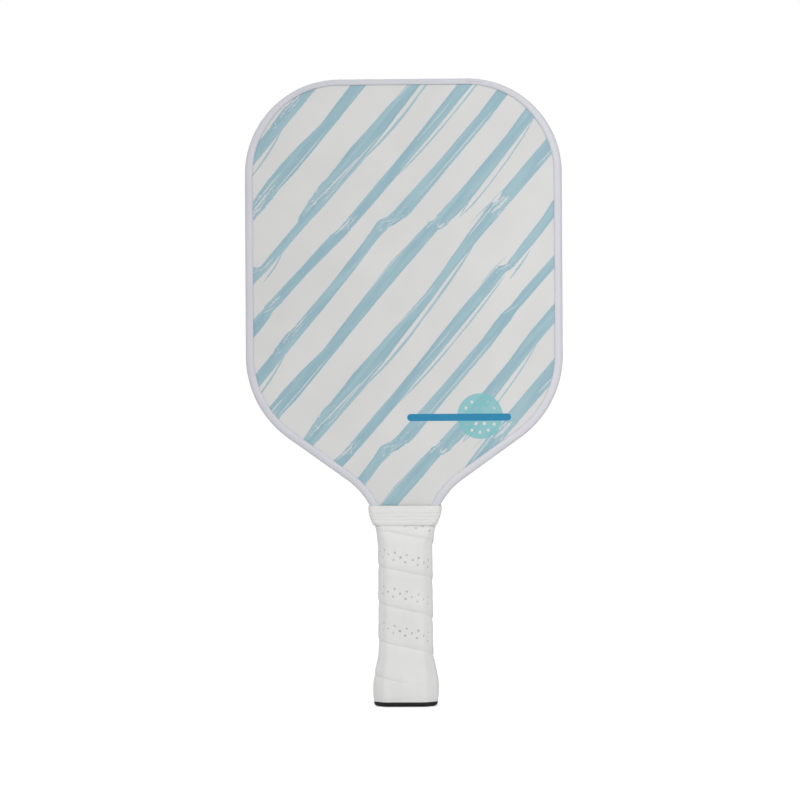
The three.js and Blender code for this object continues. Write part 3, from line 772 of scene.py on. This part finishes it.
def build_collar():
    wander = noise_field(5, 10, 6, wrap=True)
    levels = np.linspace(COLLAR_BOTTOM + 0.02, COLLAR_TOP - 0.05, 90)
    rings = []
    for level, z in enumerate(levels):
        half_width = float(np.interp(z, COLLAR_SIDE_AT, COLLAR_SIDE))
        half_depth = float(np.interp(z, COLLAR_SIDE_AT, COLLAR_FACE))
        band = int(np.searchsorted(COLLAR_GROOVES, z)) - 1
        low, high = COLLAR_GROOVES[band], COLLAR_GROOVES[band + 1]
        from_groove = min(z - low, high - z)
        rib = 0.36 * math.sqrt(1 - (1 - min(1.0, from_groove / 0.75)) ** 2)
        ring = octagon(half_width + rib, half_depth + rib, throat_bevel(z) + 0.6, 3.2, z, arc=8, flat=5)
        share = (np.arctan2(ring[:, 1], ring[:, 0]) / (2 * np.pi) + 0.5) * 10
        sway = wander(share, np.full(len(ring), level * 5.9 / len(levels)))
        ring[:, 2] += 0.16 * sway * min(1.0, (z - COLLAR_BOTTOM) / 2, (COLLAR_TOP - z) / 2)
        ring[:, :2] *= (1 + 0.002 * sway)[:, None]
        rings.append(ring)
    seat = 2 * GAP + TAPE
    for z, more in ((COLLAR_TOP, GAP), (126.4, seat), (124, seat), (122.3, seat), (121, seat), (120, seat),
                    (GRIP_TOP, seat), (117.5, seat), (116.2, seat), (COLLAR_BOTTOM, 0.12)):
        rings.append(throat_ring(z, more, arc=8, flat=5))
    points, faces = skin(rings, looped=True)
    return piece("grip_collar_band", points, faces, collar_material,
                 ["grip_collar"], sharp=50)


build_collar()


# ---- wrapped grip -----------------------------------------------------------

PITCH = 23.45
LOW_EDGE = 9.13  # height of the tape's lower edge where the winding count is 0
TAPE_WIDTH = 28.1  # measured up the handle
GIRTH = 110.1
FIRST_TURN = -1.295
LAST_TURN = 4.545
MIDDLE_ROW = 9.2
HOLE_ROWS = ((6.7, 0.5, 1.1), (MIDDLE_ROW, 0.0, 0.95), (11.6, 0.5, 0.8))  # up, shift, depth
DEEPEST_HOLE = 361.0
HOLE_SPACING = 7.85
HOLE_ANCHOR = 251.1
HOLE_RADIUS = 0.78
HOLES_FROM = 0.78
TIGHT_FROM = 1.9  # from this turn up the holes are pulled partly shut
TIGHT = 0.62
HOLE_SHADE_DEPTH = 0.3  # a hole deeper than this gets painted shade at its bottom
LONGEST_EDGE = 3.0
LOOSE_HEIGHT = 0.6  # from this height up the tape is rounded and puckered
SNUG_CORNER, LOOSE_CORNER = 120, 30
# Hand winding: how far the lower edge strays from an even helix, by turn.
STRAY_AT = (0.0, 0.25, 0.42, 0.75, 1.08, 1.42, 1.8, 2.2, 2.6, 3.08, 3.25, 3.42, 3.8, 4.08, 4.25, 4.42)
STRAY = (0.0, 0.5, 0.9, 0.2, -0.4, -0.6, -0.4, -0.1, 0.3, 1.0, 0.5, 0.1, 0.5, 1.1, 0.8, 0.0)
STRAY_REACH = 5.0


def gauge(angle, half_width, half_depth, bevel, sharpness=LOOSE_CORNER):
    """Distance from the axis to a rounded octagon, in a direction."""
    diagonal = (half_width + half_depth - bevel) / math.sqrt(2)
    total = np.zeros_like(angle)
    for k in range(8):
        reach = (half_width, diagonal, half_depth, diagonal)[k % 4]
        total += np.clip(np.cos(angle - k * math.pi / 4) / reach, 1e-9, None) ** sharpness
    return total ** (-1 / sharpness)


def angle_table():
    angles = np.linspace(0, 2 * math.pi, 2881)
    radii = gauge(angles, GRIP_HALF_WIDTH, GRIP_HALF_DEPTH, GRIP_BEVEL)
    line = np.c_[radii * np.cos(angles), radii * np.sin(angles)]
    run = np.r_[0, np.cumsum(np.linalg.norm(np.diff(line, axis=0), axis=1))]
    return angles, run / run[-1]


ANGLES, RUN = angle_table()
OUTER_AT = np.array([0, 0.1, 0.3, 0.6, 1.0, 1.6, 2.6, 4.0, 6.0, 9.0, 12.0, 18.0,
                     20.0, 21.0, 22.0, 22.8, 23.45, 25.0, 28.1])
OUTER = np.array([1.03, 1.08, 1.18, 1.32, 1.47, 1.65, 1.82, 1.86, 1.77, 1.66, 1.6, 1.6,
                  1.56, 1.47, 1.32, 1.12, 0.95, 0.74, 0.25])
FEATHERED = np.array([1.6] * 16 + [1.56, 1.0, 0.25])
pucker = noise_field(21, 26, 30, wrap=True)
ripple = noise_field(22, 60, 60, wrap=True)


def stepped(turn):
    """0 where the lowest seam is feathered away, 1 where a seam stands proud."""
    return smooth(turn, 0.19, 0.36)


def stray(turn, up):
    """How far this place on the tape lies above the even helix."""
    return np.interp(turn, STRAY_AT, STRAY) * (1 - smooth(up, 0, STRAY_REACH))


def outer_height(turn, up):
    step = np.where(up < 14, stepped(turn), stepped(turn + 1))
    up = up - stray(turn + 1, 0.0) * smooth(up, 13, 20)
    full = np.interp(up, OUTER_AT, OUTER)
    return np.interp(up, OUTER_AT, FEATHERED) * (1 - step) + full * step


def inner_height(turn, up):
    up = up + stray(turn, up)
    below = outer_height(turn - 1, up + PITCH) + 0.02
    over = up + PITCH < TAPE_WIDTH
    overlap = TAPE_WIDTH - PITCH
    lapped = np.where(over, below, 0.32 * (1 - smooth(up, overlap, overlap + 1.4)) + 0.02)
    lowest = turn < FIRST_TURN + 1
    return np.where(lowest, 0.02, lapped)


def on_handle(turn, up, height):
    """Winding count, distance above the lower edge and height to a point."""
    z = LOW_EDGE + PITCH * turn + up + stray(turn, up)
    angle = -np.interp(np.mod(turn, 1.0), RUN, ANGLES)
    share = np.mod(turn, 1.0)
    soft = pucker(share * 26, z / 120 * 30) * 0.09 + ripple(share * 60, z / 120 * 60) * 0.035
    seam = np.mod(z - LOW_EDGE - PITCH * share, PITCH)
    near_seam = np.exp(-((seam - 1.5) / 3.0) ** 2)
    soft = soft * (0.7 + 0.9 * near_seam)
    # The inner side lies close on the handle, so it keeps the handle's corners.
    loose = np.clip(height / LOOSE_HEIGHT, 0, 1)
    grow = height - WRAP + soft * loose
    # Just below the collar the wrap is squeezed out sideways.
    squeezed = 0.75 * smooth(z, 109.5, 114.2) * (1 - smooth(z, 114.3, 115.3))
    width = grip_half_width(z) + grow + squeezed
    depth = grip_half_depth(z) + grow
    bevel = grip_bevel(z) + OFFSET_BEVEL * grow
    corner = LOOSE_CORNER + (SNUG_CORNER - LOOSE_CORNER) * (1 - loose)
    radius = gauge(angle, width, depth, bevel, corner)
    return np.c_[radius * np.cos(angle), radius * np.sin(angle), z]


def lower_side(turn):
    return np.maximum(0.0, GRIP_BOTTOM + 0.1 - LOW_EDGE - PITCH * turn)


def upper_side(turn):
    return np.minimum(TAPE_WIDTH, GRIP_TOP - LOW_EDGE - PITCH * turn)


def build_wrap():
    columns = int((LAST_TURN - FIRST_TURN) * GIRTH / 1.05)
    turns = np.linspace(FIRST_TURN, LAST_TURN, columns + 1)
    shares = np.array([0, 0.004, 0.01, 0.02, 0.034, 0.055, 0.08, 0.11, 0.145, 0.19, 0.235, 0.28, 0.325, 0.37,
                       0.42, 0.48, 0.55, 0.62, 0.68, 0.73, 0.77, 0.8, 0.825, 0.85, 0.9, 0.95, 1.0])
    low, high = lower_side(turns), upper_side(turns)
    grid = low[:, None] + (high - low)[:, None] * shares[None, :]
    flat = np.c_[np.repeat(turns * GIRTH, len(shares)), grid.ravel()]
    slope = PITCH / GIRTH
    rng = np.random.default_rng(3)
    holes = []
    for up, shift, sink in HOLE_ROWS:
        first = math.ceil((HOLES_FROM * GIRTH - HOLE_ANCHOR) / HOLE_SPACING)
        place = HOLE_ANCHOR + (first + shift) * HOLE_SPACING - (up - MIDDLE_ROW) * slope
        while place < (LAST_TURN - 0.1) * GIRTH:
            dx, dy = rng.normal(0, 0.14, 2)
            size, depth = HOLE_RADIUS * rng.uniform(0.82, 1.08), sink * rng.uniform(0.75, 1.12)
            if place > TIGHT_FROM * GIRTH:
                depth *= TIGHT
            if up == MIDDLE_ROW and abs(place - DEEPEST_HOLE) < HOLE_SPACING / 2:
                size, depth = 0.95, 1.25
            holes.append((place + dx, up + dy, size, depth))
            place += HOLE_SPACING
    holes = np.array([h for h in holes if h[1] + 1.5 < upper_side(h[0] / GIRTH)])
    away = np.ones(len(flat), bool)
    for x, y, radius, _ in holes:
        away &= np.hypot(flat[:, 0] - x, flat[:, 1] - y) > radius + 0.42
    border = np.zeros((len(turns), len(shares)), bool)
    border[0] = border[-1] = True
    border[:, 0] = border[:, -1] = True
    away |= border.ravel()
    number = -np.ones(len(flat), int)
    number[away] = np.arange(away.sum())
    number = number.reshape(border.shape)
    coordinates = flat[away].tolist()
    loop = list(number[:, 0]) + list(number[-1, 1:]) + list(number[-2::-1, -1]) + list(number[0, -2:0:-1])
    edges = [(int(a), int(b)) for a, b in zip(loop, loop[1:] + loop[:1])]
    sunk = [0.0] * len(coordinates)
    for x, y, radius, depth in holes:
        for share, drop in ((1.32, 0.0), (1.08, 0.03), (0.94, 0.16), (0.84, 0.85), (0.45, 1.0), (0.0, 1.0)):
            for k in range(12 if share else 1):
                turn = 2 * math.pi * k / 12
                dx, dz = radius * share * math.cos(turn), radius * share * math.sin(turn)
                coordinates.append([x - dx, y + dz + slope * dx])
                sunk.append(drop * depth)
    found = delaunay_2d_cdt([Vector(p) for p in coordinates], edges, [], 0, 1e-7)
    points = np.array([list(p) for p in found[0]])
    triangles = np.array(found[2])
    centre = points[triangles].mean(1)
    turn = centre[:, 0] / GIRTH
    keep = (centre[:, 1] > lower_side(turn) - 1e-3) & (centre[:, 1] < upper_side(turn) + 1e-3)
    corners = points[triangles]
    area = np.cross(corners[:, 1] - corners[:, 0], corners[:, 2] - corners[:, 0])
    keep &= np.abs(area) > 1e-6
    # Slivers along a straight edge would run through the handle as chords.
    longest = np.linalg.norm(corners - np.roll(corners, 1, axis=1), axis=2).max(1)
    keep &= longest < LONGEST_EDGE
    triangles = np.where((area > 0)[:, None], triangles, triangles[:, ::-1])[keep]
    turn, up = points[:, 0] / GIRTH, points[:, 1]
    sunk = np.array(sunk)[[origins[0] for origins in found[3]]]
    shown = on_handle(turn, up, outer_height(turn, up) - sunk)
    hidden = on_handle(turn, up, np.minimum(inner_height(turn, up), outer_height(turn, up) - sunk - 0.05))
    directed = np.concatenate([triangles[:, [0, 1]], triangles[:, [1, 2]], triangles[:, [2, 0]]])
    ordered = np.sort(directed, axis=1)
    _, index, count = np.unique(ordered, axis=0, return_index=True, return_counts=True)
    rims = directed[index[count == 1]]
    total = len(points)
    # Going up the tape's winding runs clockwise round the handle, so the
    # outside's triangles are turned over and the inside's are not.
    faces = [(a, c, b) for a, b, c in triangles.tolist()]
    faces += [(a + total, b + total, c + total) for a, b, c in triangles.tolist()]
    faces += [(a, b, b + total, a + total) for a, b in rims.tolist()]
    used = np.zeros(2 * total, bool)
    for face in faces:
        for v in face:
            used[v] = True
    renumber = np.cumsum(used) - 1
    everything = np.vstack([shown, hidden])[used]
    faces = [tuple(int(renumber[v]) for v in face) for face in faces]
    wrap = piece("grip_tape_strip", everything, faces, wrap_material,
                 ["grip_wrap"], sharp=48)
    # The bottom of each punched hole gets a second, darker material: painted shade in the hole.
    wrap.data.materials.append(hole_shade_material)
    floor = np.concatenate([sunk, np.zeros(total)])[used] > HOLE_SHADE_DEPTH
    for polygon in wrap.data.polygons:
        if all(floor[v] for v in polygon.vertices):
            polygon.material_index = 1
    return wrap


# Both ends of the tape are cut level, so its flat area is less than the strip's.
build_wrap()


# ---- floor, camera and lights ----------------------------------------------

def sweep_material():
    """Pale and matt. The lights wash it out to white where it is seen."""
    material = bpy.data.materials.new("floor_white")
    material.use_nodes = True
    tree = material.node_tree
    shader = tree.nodes["Principled BSDF"]
    shader.inputs["Base Color"].default_value = (0.8, 0.8, 0.8, 1)
    shader.inputs["Roughness"].default_value = 0.9
    shader.inputs["Emission Color"].default_value = (1, 1, 1, 1)
    ray = tree.nodes.new("ShaderNodeLightPath")
    wash = tree.nodes.new("ShaderNodeMath")
    wash.operation = "MULTIPLY"
    wash.inputs[1].default_value = 0.57
    tree.links.new(ray.outputs["Is Camera Ray"], wash.inputs[0])
    tree.links.new(wash.outputs[0], shader.inputs["Emission Strength"])
    return material


def build_floor():
    mesh = bpy.data.meshes.new("floor")
    size, z = 30.0, cad_low.z - 0.0002
    corners = [(-size, -size, z), (size, -size, z), (size, size, z), (-size, size, z)]
    mesh.from_pydata(corners, [], [(0, 1, 2, 3)])
    mesh.materials.append(sweep_material())
    floor = bpy.data.objects.new("floor", mesh)
    scene.collection.objects.link(floor)


build_floor()

middle = (cad_low + cad_high) / 2
DISTANCE = 2.0
YAW = math.radians(1.5)
ROLL = math.radians(-0.32)
camera_data = bpy.data.cameras.new("camera")
camera_data.sensor_width = 36.0
camera_data.lens = 140.1
camera_data.clip_end = 100
camera = bpy.data.objects.new("camera", camera_data)
scene.collection.objects.link(camera)
turned = Matrix.Rotation(YAW, 4, "Z") @ Matrix.Rotation(math.radians(90), 4, "X")
rolled = turned @ Matrix.Rotation(ROLL, 4, "Z")
AXES = ((1, 0, 0), (0, 1, 0), (0, 0, 1))
right_way, up_way, back_way = (turned.to_3x3() @ Vector(axis) for axis in AXES)
camera.matrix_world = rolled
camera.location = middle + back_way * DISTANCE - right_way * 0.00292 - up_way * 0.00498
scene.camera = camera


def area_light(name, place, target, size, power, spread=180):
    data = bpy.data.lights.new(name, "AREA")
    data.shape = "RECTANGLE"
    data.size, data.size_y = size
    data.energy = power
    data.spread = math.radians(spread)
    light = bpy.data.objects.new(name, data)
    scene.collection.objects.link(light)
    light.location = place
    light.rotation_euler = (Vector(target) - Vector(place)).to_track_quat("-Z", "Y").to_euler()


area_light("key", (0.25, -1.7, 0.9), (0.45, 0, 0.25), (0.9, 0.9), 2.05, spread=60)
area_light("back_light", (-0.6, 1.7, 1.0), middle, (1.2, 1.2), 9.0)

world = bpy.data.worlds.new("studio")
scene.world = world
world.use_nodes = True
tree = world.node_tree
tree.nodes.clear()
ray = tree.nodes.new("ShaderNodeLightPath")
seen = tree.nodes.new("ShaderNodeBackground")
seen.inputs["Color"].default_value = (1, 1, 1, 1)
seen.inputs["Strength"].default_value = 1.0
glow = tree.nodes.new("ShaderNodeBackground")
glow.inputs["Color"].default_value = (1, 1, 1, 1)
glow.inputs["Strength"].default_value = 0.565
choose = tree.nodes.new("ShaderNodeMixShader")
out = tree.nodes.new("ShaderNodeOutputWorld")
tree.links.new(ray.outputs["Is Camera Ray"], choose.inputs[0])
tree.links.new(glow.outputs[0], choose.inputs[1])
tree.links.new(seen.outputs[0], choose.inputs[2])
tree.links.new(choose.outputs[0], out.inputs[0])

scene.view_settings.view_transform = "Standard"
scene.view_settings.look = "None"
